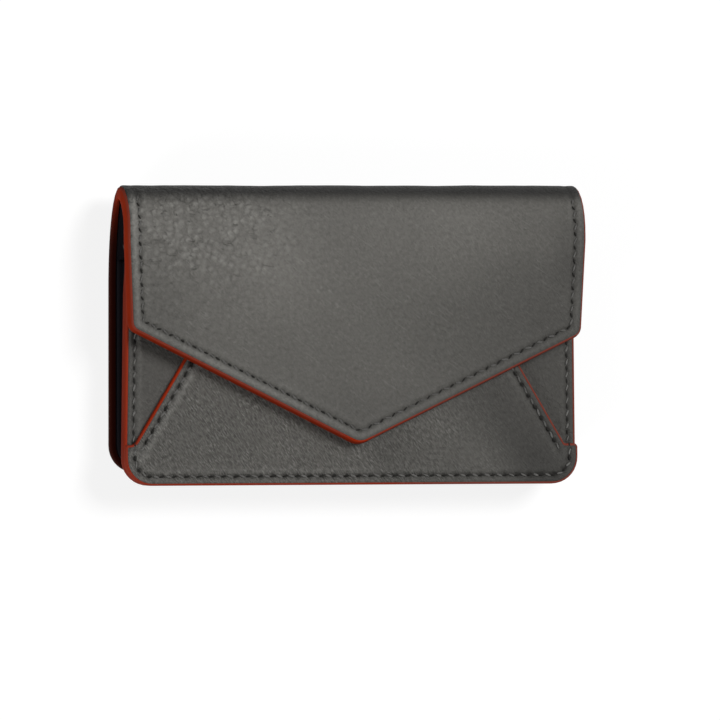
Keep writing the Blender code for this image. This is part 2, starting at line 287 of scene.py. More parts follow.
shoulderUp = case["shoulder"] - case["tip"]
taperUp = case["taper"] - case["tip"]
coverCorners = [
    (case["tipShift"], 0.0, radii["tip"]),
    (case["shoulderHalf"] + slips["rightShoulder"], shoulderUp - case["shoulderDrop"], radii["shoulder"]),
    (case["halfWidth"] + case["rightSpread"], taperUp, radii["taper"]),
    (case["halfWidth"], sheetLength, radii["foot"]),
    (-case["halfWidth"], sheetLength, radii["foot"]),
    (-case["halfWidth"], taperUp, radii["taper"]),
    (-case["shoulderHalf"], shoulderUp, radii["shoulder"]),
]
footCorners = [
    (-case["frontHalf"], case["foot"], radii["foot"]),
    (case["frontHalf"] + slips["rightFoot"], case["foot"], radii["foot"]),
]
pocketCorners = footCorners + [
    (case["frontHalf"] - slips["rightMouth"], case["mouth"], radii["pocketMouth"]),
    (-case["frontHalf"] + slips["leftMouth"], case["mouth"], radii["pocketMouth"]),
]
envelopeCorners = footCorners + [
    (case["frontHalf"] + slips["rightEar"], case["envelopeSide"], radii["rightEar"]),
    (case["flare"] - case["rightLean"] - slips["rightFlare"], case["envelopeSide"], radii["rightFlare"]),
    (case["envelopeMouth"] - case["rightLean"], case["mouth"], radii["envelopeMouth"]),
    (-case["envelopeMouth"], case["mouth"], radii["envelopeMouth"]),
    (-case["flare"], case["envelopeSide"], radii["leftFlare"]),
    (-case["frontHalf"], case["envelopeSide"], radii["leftEar"]),
]


# lays flat points (x, v, height) on the case: flap, fold and back in one sweep
def wrap(points):
    x, v, h = points[:, 0], points[:, 1], points[:, 2]
    y, z, outY, outZ = foldAt(np.interp(np.clip(v - flapRun, 0, foldLength), foldMarks, angles))
    size = np.hypot(outY, outZ)
    outY, outZ = outY / size, outZ / size
    y = y + np.minimum(v - flapRun, 0) - np.maximum(v - flapRun - foldLength, 0)
    return np.stack([x, y + outY * h, z + outZ * h], axis=1)


# cutting and rolling a sheet: the flat piece at hand becomes a slab of this height
def thicken(height):
    work("EDIT")
    bpy.ops.mesh.select_all(action="SELECT")
    bpy.ops.mesh.extrude_region_move(TRANSFORM_OT_translate={"value": (0, 0, height)})
    faceOut(bpy.context.object)


# a fine grid is cut to its outline, and only its top face is kept
def cutSheet(name, corners, inset, cell):
    outline = roundedOutline(corners, inset)
    low, high = outline.min(axis=0), outline.max(axis=0)
    size = high - low + 4 * cell
    centre = (low + high) / 2
    letGo()
    bpy.ops.mesh.primitive_grid_add(
        x_subdivisions=round(size[0] / cell),
        y_subdivisions=round(size[1] / cell),
        size=1,
        location=(centre[0], centre[1], 0),
    )
    sheet = bpy.context.object
    sheet.name = name
    sheet.scale = (size[0], size[1], 1)
    bpy.ops.object.transform_apply(location=True, rotation=False, scale=True)
    thicken(-mm)

    letGo()
    bpy.ops.mesh.primitive_circle_add(vertices=len(outline), radius=size[0], fill_type="NGON")
    cutter = bpy.context.object
    writePoints(cutter, np.column_stack([outline, np.full(len(outline), -5 * mm)]))
    thicken(10 * mm)
    applyModifier(sheet, "BOOLEAN", {"object": cutter, "operation": "INTERSECT", "solver": "MANIFOLD"})
    bpy.data.objects.remove(cutter)

    chooseFaces(sheet, [face.center.z < -0.1 * mm for face in sheet.data.polygons])
    bpy.ops.mesh.delete(type="FACE")
    work("OBJECT")
    for kind, values in zip(("borderSide", "borderShare"), nearestOn(readPoints(sheet)[:, :2], outline)[1:]):
        store(sheet, kind, values)
    return sheet


# then its open border is extruded ring by ring; rim holds (distance in from the outline, height),
# and farRim, if there is one, the same for the far end; share(y) is 0 near and 1 far
def rollRim(sheet, corners, rim, farRim, share):
    pick(sheet)
    work("EDIT")
    bpy.ops.mesh.select_mode(type="EDGE")
    bpy.ops.mesh.select_all(action="DESELECT")
    bpy.ops.mesh.select_non_manifold(
        extend=False, use_wire=False, use_boundary=True, use_multi_face=False,
        use_non_contiguous=False, use_verts=False,
    )
    for near, far in zip(rim, farRim or rim):
        bpy.ops.mesh.extrude_region_move(TRANSFORM_OT_translate={"value": (0, 0, 0)})
        work("OBJECT")
        chosen = np.empty(len(sheet.data.vertices), dtype=bool)
        sheet.data.vertices.foreach_get("select", chosen)
        points = readPoints(sheet)
        place = np.rint(recall(sheet, "borderSide")[chosen]).astype(int), recall(sheet, "borderShare")[chosen]
        nearRing = placeOn(roundedOutline(corners, near[0]), *place)
        farRing = placeOn(roundedOutline(corners, far[0]), *place)
        mixed = share(nearRing[:, 1]) if share else np.zeros(len(nearRing))
        points[chosen, :2] = nearRing + (farRing - nearRing) * mixed[:, None]
        points[chosen, 2] = near[1] + (far[1] - near[1]) * mixed
        writePoints(sheet, points)
        work("EDIT")
    bpy.ops.mesh.edge_face_add()
    work("OBJECT")
    for name in ("borderSide", "borderShare"):
        sheet.data.attributes.remove(sheet.data.attributes[name])


# the underside is one face, cut across wherever the fold has to bend it
def cutUnderside(sheet, rows):
    low = readPoints(sheet)[:, 2].min()
    manySided = 40
    chooseFaces(sheet, [len(face.vertices) > manySided for face in sheet.data.polygons])
    bpy.ops.mesh.hide(unselected=True)
    for row in rows:
        bpy.ops.mesh.select_all(action="SELECT")
        bpy.ops.mesh.bisect(plane_co=(0, row, low), plane_no=(0, 1, 0))
    bpy.ops.mesh.reveal(select=False)
    work("OBJECT")


# cuts a sheet, rolls its rim and, where it runs round the fold, cuts its underside too
def makeSheet(name, corners, inset, cell, top, rim, farRim, share, foldIt):
    sheet = cutSheet(name, corners, inset, cell)
    points = readPoints(sheet)
    points[:, 2] = top
    writePoints(sheet, points)
    rollRim(sheet, corners, rim, farRim, share)
    if foldIt:
        cutUnderside(sheet, foldRows)
    return sheet, readPoints(sheet)


# lays a flat sheet round the fold, or lifts it to its place on the front
def settle(sheet, points, face, foldIt, degrees):
    if foldIt:
        points = wrap(points)
    else:
        points[:, 2] += face
    writePoints(sheet, points)
    faceOut(sheet)
    smoothShade(sheet, degrees)
    return sheet


# how far round the fold, in degrees
def sweepAt(v):
    return np.degrees(np.interp(v - flapRun, foldMarks, angles))


# 0 on the flap, 1 on the back
def behind(v):
    return ease(sweepAt(v), 70, 158)


# 1 along the crest of the fold, where the seam is worn flatter and the leather and thread are painted dark as
# painted shade
def crestWearAndShadeAt(v):
    sweep = sweepAt(v)
    return ease(sweep, 34, 62) * (1 - ease(sweep, 96, 150))


# 0 along the pocket, 1 at its mouth
def atMouth(y):
    return ease(y, case["mouth"] - 9 * mm, case["mouth"] - 2 * mm)


rowPitch = 1.6 * mm
foldRows = np.arange(flapRun - rowPitch / 2, flapRun + foldLength + rowPitch, rowPitch)


# rows of stitches
stitching = {
    "coverPitch": 3.12 * mm,
    "panelPitch": 2.95 * mm,
    "length": 1.55 * mm,
    "width": 0.42 * mm,
    "height": 0.36 * mm,
    "slant": -20.0,  # degrees across the row
    "holeLength": 1.3 * mm,
    "holeWidth": 0.42 * mm,
    "holeDepth": 0.24 * mm,
    "holeSunk": 0.22 * mm,  # below the cover's face
    "frontHoleSunk": 0.24 * mm,
    "innerLevel": -2.46 * mm,  # the inner side's stitches, from the cover's face
    "sunk": 0.2 * mm,  # how far a stitch sinks where the fold is worn
    "holeLean": 28.0,  # holes lean the other way, less so below the flap's left edge
    "leftLean": -6.0,
    "panelLean": 8.0,
    "coverInset": 3.1 * mm,
    "panelInset": 2.1 * mm,
    "slantInset": 0.96,  # the slanting rows keep this share of it
    "slantTop": 3.2 * mm,  # where they start and end along the slanting edge
    "slantFoot": 1.0 * mm,
    "innerRun": 0.8,  # the inner side's stitches run on over this share of the fold
    "loopSteps": 6,
}

coverLoop = roundedOutline(coverCorners, stitching["coverInset"], steps=stitching["loopSteps"])
coverRow = np.vstack([coverLoop, coverLoop[:1]])
panelLoop = roundedOutline(pocketCorners, stitching["panelInset"], steps=8)
panelRow = np.vstack([panelLoop, panelLoop[:1]])
slantTop = np.array([case["envelopeMouth"], case["mouth"]])
slantFoot = np.array([case["flare"], case["envelopeSide"]])
slantWay = (slantFoot - slantTop) / np.linalg.norm(slantFoot - slantTop)
slantIn = np.array([slantWay[1], -slantWay[0]]) * stitching["panelInset"] * stitching["slantInset"]
slantRow = slantIn + [
    slantTop + slantWay * stitching["slantTop"], slantFoot + slantWay * stitching["slantFoot"],
]
slantRows = {"right": slantRow - [case["rightLean"], 0], "left": slantRow * [-1, 1]}


def holesAlong(row, pitch):
    return np.array([place for place, ahead in walk(row, stitching[pitch], 0.0)])


coverHoles = holesAlong(coverRow, "coverPitch")
panelHoles = holesAlong(panelRow, "panelPitch")
slantHoles = np.vstack([holesAlong(row, "panelPitch") for row in slantRows.values()])

# the same row as it shows on the flap's inner side, from one end of the fold round the tip to the other
# corners 5 and 6 are the left side's, 0 is the tip and 1 and 2 are the right side's
perCorner = stitching["loopSteps"] + 1
innerRow = np.vstack([coverLoop[5 * perCorner:], coverLoop[:3 * perCorner]])
foldEnd = flapRun + foldLength * stitching["innerRun"]
innerRow = np.vstack([[[innerRow[0, 0], foldEnd]], innerRow, [[innerRow[-1, 0], foldEnd]]])


# how leather swells and sinks beside a seam: a soft welt on both sides of it, a groove along it,
# a pucker at every needle hole
seamShape = {
    "welt": 0.17 * mm,
    "weltOut": 1.3 * mm,
    "weltWidth": 0.7 * mm,
    "groove": 0.20 * mm,
    "grooveWidth": 0.55 * mm,
    "pucker": 0.20 * mm,
    "puckerWidth": 0.7 * mm,
}


def seamRelief(points, outline, holes):
    away = nearestOn(points, outline)[0]
    relief = -seamShape["groove"] * hump(away, 0, seamShape["grooveWidth"])
    pits = np.zeros(len(points))
    for hole in holes:
        reach = (points[:, 0] - hole[0]) ** 2 + (points[:, 1] - hole[1]) ** 2
        pits = np.maximum(pits, np.exp(-reach / seamShape["puckerWidth"] ** 2))
    relief -= seamShape["pucker"] * pits
    relief += seamShape["welt"] * hump(away, seamShape["weltOut"], seamShape["weltWidth"]) * (1 - 0.7 * pits)
    return relief, away, pits


def softNoise(points, size, height, seed):
    places = [Vector((x / size + seed, y / size - seed, seed * 0.37)) for x, y in points]
    return np.array([noise.noise(place) for place in places]) * height


# grey leather
leather = {
    "cell": 0.5 * mm,
    "start": 0.55 * mm,  # how far inside its edge the sheet is cut, before its rim is rolled
    "flapEdge": 0.86 * mm,  # how far the leather stops short of the red edge
    "backEdge": 0.58 * mm,
    "pocketEdge": 0.66 * mm,
    "envelopeEdge": 0.5 * mm,
    "thickness": 0.85 * mm,
    "envelopeThickness": 0.75 * mm,
    "backSunk": 0.24 * mm,  # the back lies flat, so nothing on it stands out
    "swell": (11 * mm, 0.16 * mm),  # its slow waves and its quick ones, each a size and a height
    "ripple": (3.4 * mm, 0.05 * mm),
}


def leatherRim(edge, thickness):
    bevel = [(0.32, -0.03), (0.15, -0.09), (0.03, -0.18), (0, -0.3), (0.12, -0.5)]
    return [(edge + out * mm, height * mm) for out, height in bevel] + [(edge + 0.3 * mm, -thickness)]


# rows are (line, how strong the painted highlight on its welt is outside it, and inside it)
def leatherSheet(name, corners, rows, holes, inset, face, edge, pebble, wrinkle, tone, seed, foldIt=False,
                 thickness=leather["thickness"]):
    farRim = leatherRim(leather["backEdge"], thickness) if foldIt else None
    sheet, points = makeSheet(
        name, corners, edge + leather["start"], leather["cell"], 0,
        leatherRim(edge, thickness), farRim, behind if foldIt else None, foldIt,
    )
    flat = points[:, :2].copy()
    onTop = points[:, 2] > -0.05 * mm
    fromEdge = nearestOn(flat, roundedOutline(corners, 0))[0]
    lift = np.zeros(len(points))
    dark = np.zeros(len(points))
    weltHighlight = np.zeros(len(points))
    for row, outer, inner in rows:
        relief, away, pits = seamRelief(flat, row, holes)
        lift += relief * (1 - 0.85 * crestWearAndShadeAt(flat[:, 1])) if foldIt else relief
        # the groove and the needle holes are painted darker as painted shade
        dark = np.maximum(dark, hump(away, 0, 0.38 * mm) * 0.5 + pits ** 2 * 0.4)
        # the welt beside each row is painted paler as a painted highlight, less so at the needle holes and
        # towards the right
        highlightMask = hump(away, 1.25 * mm, 0.65 * mm) * (1 - 0.6 * pits)
        weltHighlight = np.maximum(weltHighlight, highlightMask * np.where(fromEdge < inset, outer, inner))
    swell = softNoise(flat, *leather["swell"], seed) + softNoise(flat, *leather["ripple"], seed + 5)
    lift += swell * ease(fromEdge, 3 * mm, 9 * mm)
    if foldIt:
        lift -= leather["backSunk"] * behind(flat[:, 1])
    lift *= ease(fromEdge, edge + 0.2 * mm, edge + 0.9 * mm)
    points[:, 2] += np.where(onTop, lift, 0)
    storeFlat(sheet, points)
    store(sheet, "seam", dark * onTop)
    store(sheet, "welt", weltHighlight * onTop * (1 - 0.6 * ease(flat[:, 0], -12 * mm, 16 * mm)))
    store(sheet, "tone", tone(flat))
    store(sheet, "rim", 1 - ease(fromEdge, edge, edge + 1.2 * mm))
    # the crest is painted dark as painted shade
    store(sheet, "crestWearAndShade", crestWearAndShadeAt(flat[:, 1]) if foldIt else np.zeros(len(flat)))
    store(sheet, "pebble", pebble(flat))
    store(sheet, "wrinkle", wrinkle(flat))
    return settle(sheet, points, face, foldIt, 60)


# pebbles show most at the flap's upper left; this and the next two work in millimetres
def coverPebble(flat):
    x, v = flat.T / mm
    left = 1 - ease(x, -36, -4)
    up = 0.3 * ease(v, 16, 34) + 0.7 * ease(v, 35, 46)
    return 0.10 + 0.90 * left * up


# the cover is painted paler at the flap's upper left and just below the fold, as painted highlight and partly
# rubbed leather, and darker towards its right, at its ends, at the tip and along the crest, as painted shade
def coverLightShadeAndWear(flat):
    x, y = flat[:, 0] / mm, (flat[:, 1] + case["tip"]) / mm
    highlightMask = hump(x, -36, 26) * hump(y, 20, 14)
    high = hump(y, 24, 12)
    below = hump(y, 30, 4)
    wearAndPaintedLight = hump(x, -18, 15) * hump(y, 9, 13)
    paintedHighlight = 0.18 * highlightMask + 0.24 * high + 0.12 * below + 0.20 * wearAndPaintedLight
    left = (1 - ease(x, -48, -34)) * (1 - ease(y, 18, 28))
    middle = hump(x, -4, 13) * ease(y, 10, 20)
    right = ease(x, 4, 46) * (1 - ease(y, 4, 24))
    end = (0.20 * ease(x, 24, 44) + 0.28 * ease(x, 43, 53)) * ease(y, 6, 18)
    end *= 1 - 0.5 * ease(y, 25, 31)
    dark = 0.12 * (1 - ease(y, -20, -8)) + 0.35 * hump(y, 37, 3.5)
    return 1.0 + paintedHighlight - 0.16 * left - 0.10 * middle - 0.36 * right - end - dark


# the front is painted paler at its lower middle, in one slanting band and on two soft swells, as painted
# highlight, and darker in a dent beside its middle, in a dip along the right seam and towards its right end,
# as painted shade
def envelopeLightAndShade(flat):
    x, y = flat.T / mm
    band = hump((x - 22) * 0.56 + (y + 22) * 0.83, 0, 4.5) * (1 - ease(x, 30, 42))
    foot = hump(x, 0, 16) * hump(y, -29, 5)
    across = 0.24 * ease(x, -25, 45) + 0.26 * ease(x, 30, 50)
    dip = hump(x - 24 + 0.65 * y, 0, 7)
    swells = 0.08 * (hump(x, -18, 5) + hump(x, 20, 4)) * hump(y, -24, 6)
    dent = 0.15 * hump(x, 8, 3.5) * hump(y, -27, 6)
    return 1.02 + 0.10 * band * ease(x, -4, 12) + 0.10 * foot + swells - across - 0.20 * dip - dent


cover = leatherSheet(
    "cover_leather", coverCorners, [(coverLoop, 1.0, 0.2)], coverHoles, stitching["coverInset"], 0,
    leather["flapEdge"], coverPebble, lambda flat: 0.12 + 0.10 * ease(flat[:, 0], -20 * mm, 30 * mm),
    coverLightShadeAndWear, seed=2.3, foldIt=True,
)
print("cover leather made:", len(cover.data.polygons), "faces")

slantLoops = [(np.vstack([row, row[::-1]]), 0.3, 0.9) for row in slantRows.values()]
pocketLeather = leatherSheet(
    "pocket_leather_panel", pocketCorners, [(panelLoop, 0.3, 0.4)], panelHoles, stitching["panelInset"],
    case["pocketFace"], leather["pocketEdge"], even(0.15), even(0.25),
    # the pocket's leather is darker overall, and painted darker towards the right as painted shade
    lambda flat: 0.69 - 0.11 * ease(flat[:, 0], -30 * mm, 30 * mm), seed=4.1,
)
envelopeLeather = leatherSheet(
    "envelope_leather_panel", envelopeCorners, [(panelLoop, 0.3, 0.4)] + slantLoops,
    np.vstack([panelHoles, slantHoles]), stitching["panelInset"],
    case["envelopeFace"], leather["envelopeEdge"], even(0.12),
    lambda flat: 1 - 0.65 * ease(flat[:, 0], 8 * mm, 42 * mm),
    envelopeLightAndShade, seed=7.7, thickness=leather["envelopeThickness"],
)
print("pocket and envelope leather made")


# red painted edges
# the paint's rounded rim rises round the leather's edge and swells past the lining behind;
# each kind of rim is (distance in from the outline, height) in millimetres, from its top to its underside
edgePaint = {
    "cell": 2.4 * mm,
    "start": 1.75 * mm,
    "top": -0.8 * mm,
    "flap": [
        (1.30, -0.62), (1.00, -0.33), (0.78, -0.25), (0.58, -0.36), (0.44, -0.62), (0.32, -1.0), (0.18, -1.55),
        (0.07, -2.1), (0, -2.6), (0.06, -3.0), (0.25, -3.2), (0.48, -3.22), (0.62, -3.0), (0.78, -2.05),
    ],
    "back": [
        (1.0, -0.62), (0.72, -0.33), (0.5, -0.22), (0.3, -0.24), (0.14, -0.42), (0.04, -0.75), (0, -1.15),
        (0, -1.6), (0.02, -2.0), (0.1, -2.3), (0.25, -2.5), (0.5, -2.56), (1.25, -2.54), (1.5, -2.05),
    ],
    "pocket": [
        (1.1, -0.62), (0.8, -0.33), (0.58, -0.22), (0.36, -0.26), (0.18, -0.46), (0.07, -0.8), (0.02, -1.3),
        (0, -2.0), (0.02, -2.7), (0.1, -3.2), (0.3, -3.55), (0.5, -3.6), (0.64, -3.4), (0.8, -2.05),
    ],
    "mouth": [
        (1.1, -0.62), (0.8, -0.33), (0.58, -0.22), (0.36, -0.26), (0.18, -0.46), (0.07, -0.75), (0.02, -1.1),
        (0, -1.5), (0.02, -1.9), (0.1, -2.25), (0.25, -2.5), (0.42, -2.54), (0.55, -2.45), (0.7, -2.05),
    ],
    "envelope": [
        (0.8, -0.5), (0.6, -0.3), (0.42, -0.18), (0.22, -0.24), (0.08, -0.44), (0, -0.75),
        (0, -1.15), (0.12, -1.45), (0.5, -1.52), (1.1, -1.52),
    ],
}


def rimOf(kind):
    return [(distance * mm, height * mm) for distance, height in edgePaint[kind]]


# where the paint is paler and duller: along its upper rim as a painted highlight, all over towards the right,
# and as much as least(y) everywhere
def dullingAndSheen(points, least):
    rimSheen = ease(points[:, 2], -1.1 * mm, -0.4 * mm)
    below = points[:, 1] > 2 * mm
    right = ease(points[:, 0], -6 * mm, 22 * mm)
    return np.maximum(np.maximum(right, rimSheen * below * 0.75), least(points[:, 1]))


# the paint is painted darker towards its foot, and darkest behind, as painted shade
def edgeBand(name, corners, face, kind, least, farKind=None, share=None, foldIt=False, deepen=None):
    band, points = makeSheet(
        name, corners, edgePaint["start"], edgePaint["cell"], edgePaint["top"],
        rimOf(kind), rimOf(farKind or kind), share, foldIt,
    )
    low = 0.62 * ease(-points[:, 2], 0.35 * mm, 1.4 * mm)
    low *= 1 - 0.75 * ease(points[:, 1], 22 * mm, 32 * mm) if foldIt else 0.6
    store(band, "wearAndPaintedLight", np.maximum(low, behind(points[:, 1])) if foldIt else low)
    store(band, "dullingAndSheen", dullingAndSheen(points, least))
    return settle(band, deepen(points) if deepen else points, face, foldIt, 60)


# along the sides and foot the envelope's paint runs on over the pocket's edge behind it
def deepenSides(points):
    drop = 0.75 * mm
    onSides = points[:, 1] < case["envelopeSide"] - 0.6 * mm
    low = points[:, 2] < -drop
    outer = nearestOn(points[:, :2], roundedOutline(envelopeCorners, 0))[0] < 0.7 * mm
    points[:, 2] -= np.where(onSides & low & outer, drop, 0)
    return points


coverEdge = edgeBand(
    "cover_edge", coverCorners, 0, "flap", lambda y: 0.04 + 0.05 * ease(y, 22 * mm, 34 * mm),
    "back", behind, foldIt=True,
)
pocketEdge = edgeBand("pocket_edge", pocketCorners, case["pocketFace"], "pocket", even(0.3), "mouth", atMouth)
envelopeEdge = edgeBand(
    "envelope_edge", envelopeCorners, case["envelopeFace"], "envelope",
    lambda y: 0.5 - 0.35 * ease(y, -26 * mm, -20 * mm), deepen=deepenSides,
)
print("painted edges made")


# linings
liningPly = {
    "cell": 1.6 * mm,
    "start": 0.3 * mm,
    "inset": 0.62 * mm,
    "backInset": 1.35 * mm,
    "top": -2.1 * mm,  # heights from the leather's face
    "bottom": -2.42 * mm,
}


def liningRim(inset):
    top, bottom = liningPly["top"], liningPly["bottom"]
    return [(inset, top), (inset, bottom + 0.08 * mm), (inset + 0.2 * mm, bottom)]


def liningSheet(name, corners, face, farInset, foldIt=False):
    lining, points = makeSheet(
        name, corners, farInset + liningPly["start"], liningPly["cell"], liningPly["top"],
        liningRim(liningPly["inset"]), liningRim(farInset), behind if foldIt else None, foldIt,
    )
    storeFlat(lining, points)
    return settle(lining, points, face, foldIt, 50)


coverLining = liningSheet("cover_lining", coverCorners, 0, liningPly["backInset"], foldIt=True)
pocketLining = liningSheet("pocket_lining_panel", pocketCorners, case["pocketFace"], liningPly["inset"])
print("linings made")


# the gusset, folded inwards between back and pocket
gussetSize = {
    "edge": 0.7 * mm,
    "depth": 7.2 * mm,
    "low": 2.85 * mm,
    "high": 8.05 * mm,
    "thickness": 0.55 * mm,
    "leastRadius": 1.0 * mm,
    "mouthGap": 0.8 * mm,  # how far it stops below the pocket's mouth
    "footRise": 2.8 * mm,  # its back edge stands this much higher than its front edge
    "rows": 22,
    "cornerSteps": 9,
    "sideSteps": 24,
}


def gussetLine(distance, level, rise):
    side = case["frontHalf"] - gussetSize["edge"] - distance
    foot = case["foot"] + rise + gussetSize["edge"] + distance
    radius = max(radii["foot"] - gussetSize["edge"] - distance, gussetSize["leastRadius"])
    top = case["mouth"] - gussetSize["mouthGap"]
    turns = np.linspace(0, math.pi / 2, gussetSize["cornerSteps"])
    corner = [(-side + radius - radius * math.cos(t), foot + radius - radius * math.sin(t)) for t in turns]
    down = [(-side, y) for y in np.linspace(top, foot + radius, gussetSize["sideSteps"], endpoint=False)]
    across = [(x, foot) for x in np.linspace(-side + radius, 0, gussetSize["sideSteps"], endpoint=False)][1:]
    left = down + corner + across
    right = [(-x, y) for x, y in left[::-1]]
    return [(x, y, level) for x, y in left + [(0, foot)] + right]


lines = []
for share in np.linspace(0, 1, gussetSize["rows"]):
    level = gussetSize["low"] + (gussetSize["high"] - gussetSize["low"]) * ease(share, 0.12, 0.88)
    depth = gussetSize["depth"] * (1 - abs(2 * share - 1)) ** 0.8
    lines.append(gussetLine(depth, level, gussetSize["footRise"] * (1 - share)))
letGo()
bpy.ops.mesh.primitive_grid_add(x_subdivisions=len(lines[0]) - 1, y_subdivisions=len(lines) - 1, size=1)
gusset = bpy.context.object
gusset.name = "gusset_fold"
writePoints(gusset, np.array(lines).reshape(-1, 3))
weave = [(column * 2.0, row * 0.8, 0) for row in range(len(lines)) for column in range(len(lines[0]))]
store(gusset, "flat", np.array(weave))
applyModifier(gusset, "SOLIDIFY", {"thickness": gussetSize["thickness"], "offset": 0})
applyModifier(gusset, "SUBSURF", {"levels": 1, "render_levels": 1})
faceOut(gusset)
smoothShade(gusset, 80)
print("gusset made")


# thread: one stitch, modelled once
letGo()
bpy.ops.mesh.primitive_uv_sphere_add(segments=8, ring_count=6, radius=0.5)
stitch = bpy.context.object
stitch.name = "stitch"
stitchPoints = readPoints(stitch)[:, [2, 0, 1]]  # its poles lie along the row
stitchPoints[:, 0] *= stitching["length"] * (1.0 - 0.10 * np.abs(stitchPoints[:, 0] * 2) ** 3)
stitchPoints[:, 1] *= stitching["width"]
stitchPoints[:, 2] *= stitching["height"]
writePoints(stitch, stitchPoints)
store(stitch, "twist", stitchPoints / mm)
faceOut(stitch)


# how unevenly stitches fall: degrees, shares of their length and width, metres
spread = {"lean": 3.0, "length": 0.09, "width": 0.12, "lift": 0.02 * mm}


# copies of one stitch or needle hole along a line; lay wraps them round the fold, paintedHighlight is how much
# painted highlight their thread gets and shade how dark it is, and sunk is how far they sink at the crest
def sewRow(name, line, heightAt, lean=steady(stitching["slant"]), lay=None, part=stitch, lead=0.5,
           paintedHighlight=1.0, shade=0.0, sunk=stitching["sunk"]):
    copies = []
    chance = np.random.default_rng(7)
    for place, ahead in walk(line, stitching["coverPitch" if lay else "panelPitch"], lead):
        copy = part.copy()
        copy.data = part.data.copy()
        bpy.context.scene.collection.objects.link(copy)
        turn = math.atan2(ahead[1], ahead[0]) + math.radians(lean(place) + chance.normal(0, spread["lean"]))
        copy.rotation_euler = (0, 0, turn)
        copy.scale = (1 + chance.normal(0, spread["length"]), 1 + chance.normal(0, spread["width"]), 1)
        copy.location = (place[0], place[1], heightAt(place) + chance.normal(0, spread["lift"]))
        copies.append(copy)
    letGo()
    for copy in copies:
        copy.select_set(True)
    bpy.context.view_layer.objects.active = copies[0]
    bpy.ops.object.transform_apply(location=True, rotation=True, scale=True)
    bpy.ops.object.join()
    row = bpy.context.object
    row.name = name
    points = readPoints(row)
    # the thread takes the crest's painted shade, or its row's own shade where that is greater
    crestWearAndShade = crestWearAndShadeAt(points[:, 1]) if lay else np.zeros(len(points))
    store(row, "crestWearAndShade", np.maximum(crestWearAndShade, shade))
    store(row, "paintedHighlight", np.full(len(points), paintedHighlight))
    points[:, 2] -= crestWearAndShade * sunk
    writePoints(row, lay(points) if lay else points)
    for face in row.data.polygons:
        face.use_smooth = True
    return row


def frontHeight(place):
    inside = place[1] < case["envelopeSide"] - 0.2 * mm
    slope = (case["flare"] - case["envelopeMouth"]) / (case["mouth"] - case["envelopeSide"])
    onSlant = abs(place[0]) < case["flare"] - slope * (place[1] - case["envelopeSide"])
    return (case["envelopeFace"] if inside or onSlant else case["pocketFace"]) + 0.02 * mm


# how the cover's needle holes lean
def coverLean(place):
    onLeft = place[0] < -2 * mm and place[1] < shoulderUp - 1.5 * mm
    return stitching["leftLean"] if onLeft else stitching["holeLean"]


# the cover's face at a place on its flat sheet
def coverHeight(place):
    return -leather["backSunk"] * behind(place[1])


coverThread = sewRow("cover_stitches", coverRow, coverHeight, lay=wrap, paintedHighlight=0.1)
innerThread = sewRow(
    "inner_stitches", innerRow, steady(stitching["innerLevel"]), lay=wrap, paintedHighlight=0.0, shade=0.6,
    sunk=-stitching["sunk"],
)
pocketThread = sewRow("pocket_stitches", panelRow, frontHeight, paintedHighlight=0.7)
slantThreads = [
    sewRow("envelope_stitches_" + side, row, frontHeight, lean=steady(stitching["slant"] / 2), paintedHighlight=0.3)
    for side, row in slantRows.items()
]

# one needle hole, modelled once: a shallow dish in the groove between two stitches, painted near-black as the
# painted shade inside the hole
letGo()
bpy.ops.mesh.primitive_uv_sphere_add(segments=8, ring_count=4, radius=0.5)
hole = bpy.context.object
hole.name = "hole"
writePoints(hole, readPoints(hole) * [stitching["hole" + way] for way in ("Length", "Width", "Depth")])
faceOut(hole)


def holeHeight(place):
    return frontHeight(place) - stitching["frontHoleSunk"]


coverHolesPiece = sewRow(
    "cover_needle_holes", coverRow, lambda place: coverHeight(place) - stitching["holeSunk"], lean=coverLean,
    lay=wrap, part=hole, lead=0.0,
)
pocketHolesPiece = sewRow(
    "pocket_needle_holes", panelRow, holeHeight, lean=steady(stitching["panelLean"]), part=hole, lead=0.0,
)
slantHolesPieces = [
    sewRow("envelope_needle_holes_" + side, row, holeHeight, lean=steady(stitching["holeLean"] / 2),
           part=hole, lead=0.0)
    for side, row in slantRows.items()
]
bpy.data.objects.remove(stitch)
bpy.data.objects.remove(hole)
print("stitches made")


# finishes
def plug(tree, place, value):
    if isinstance(value, Wire):
        tree.links.new(value.socket, place)
    else:
        place.default_value = value


class Wire:
    # a node's socket that sums and products can be written with
    def __init__(self, socket):
        self.socket = socket

    def sum(self, operation, first, second):
        tree = self.socket.id_data
        node = tree.nodes.new("ShaderNodeMath")
        node.operation = operation
        for place, value in zip(node.inputs, (first, second)):
            plug(tree, place, value)
        return Wire(node.outputs[0])

    def __add__(self, other):
        return self.sum("ADD", self, other)

    def __sub__(self, other):
        return self.sum("SUBTRACT", self, other)

    def __rsub__(self, other):
        return self.sum("SUBTRACT", other, self)

    def __mul__(self, other):
        return self.sum("MULTIPLY", self, other)

    __radd__ = __add__
    __rmul__ = __mul__


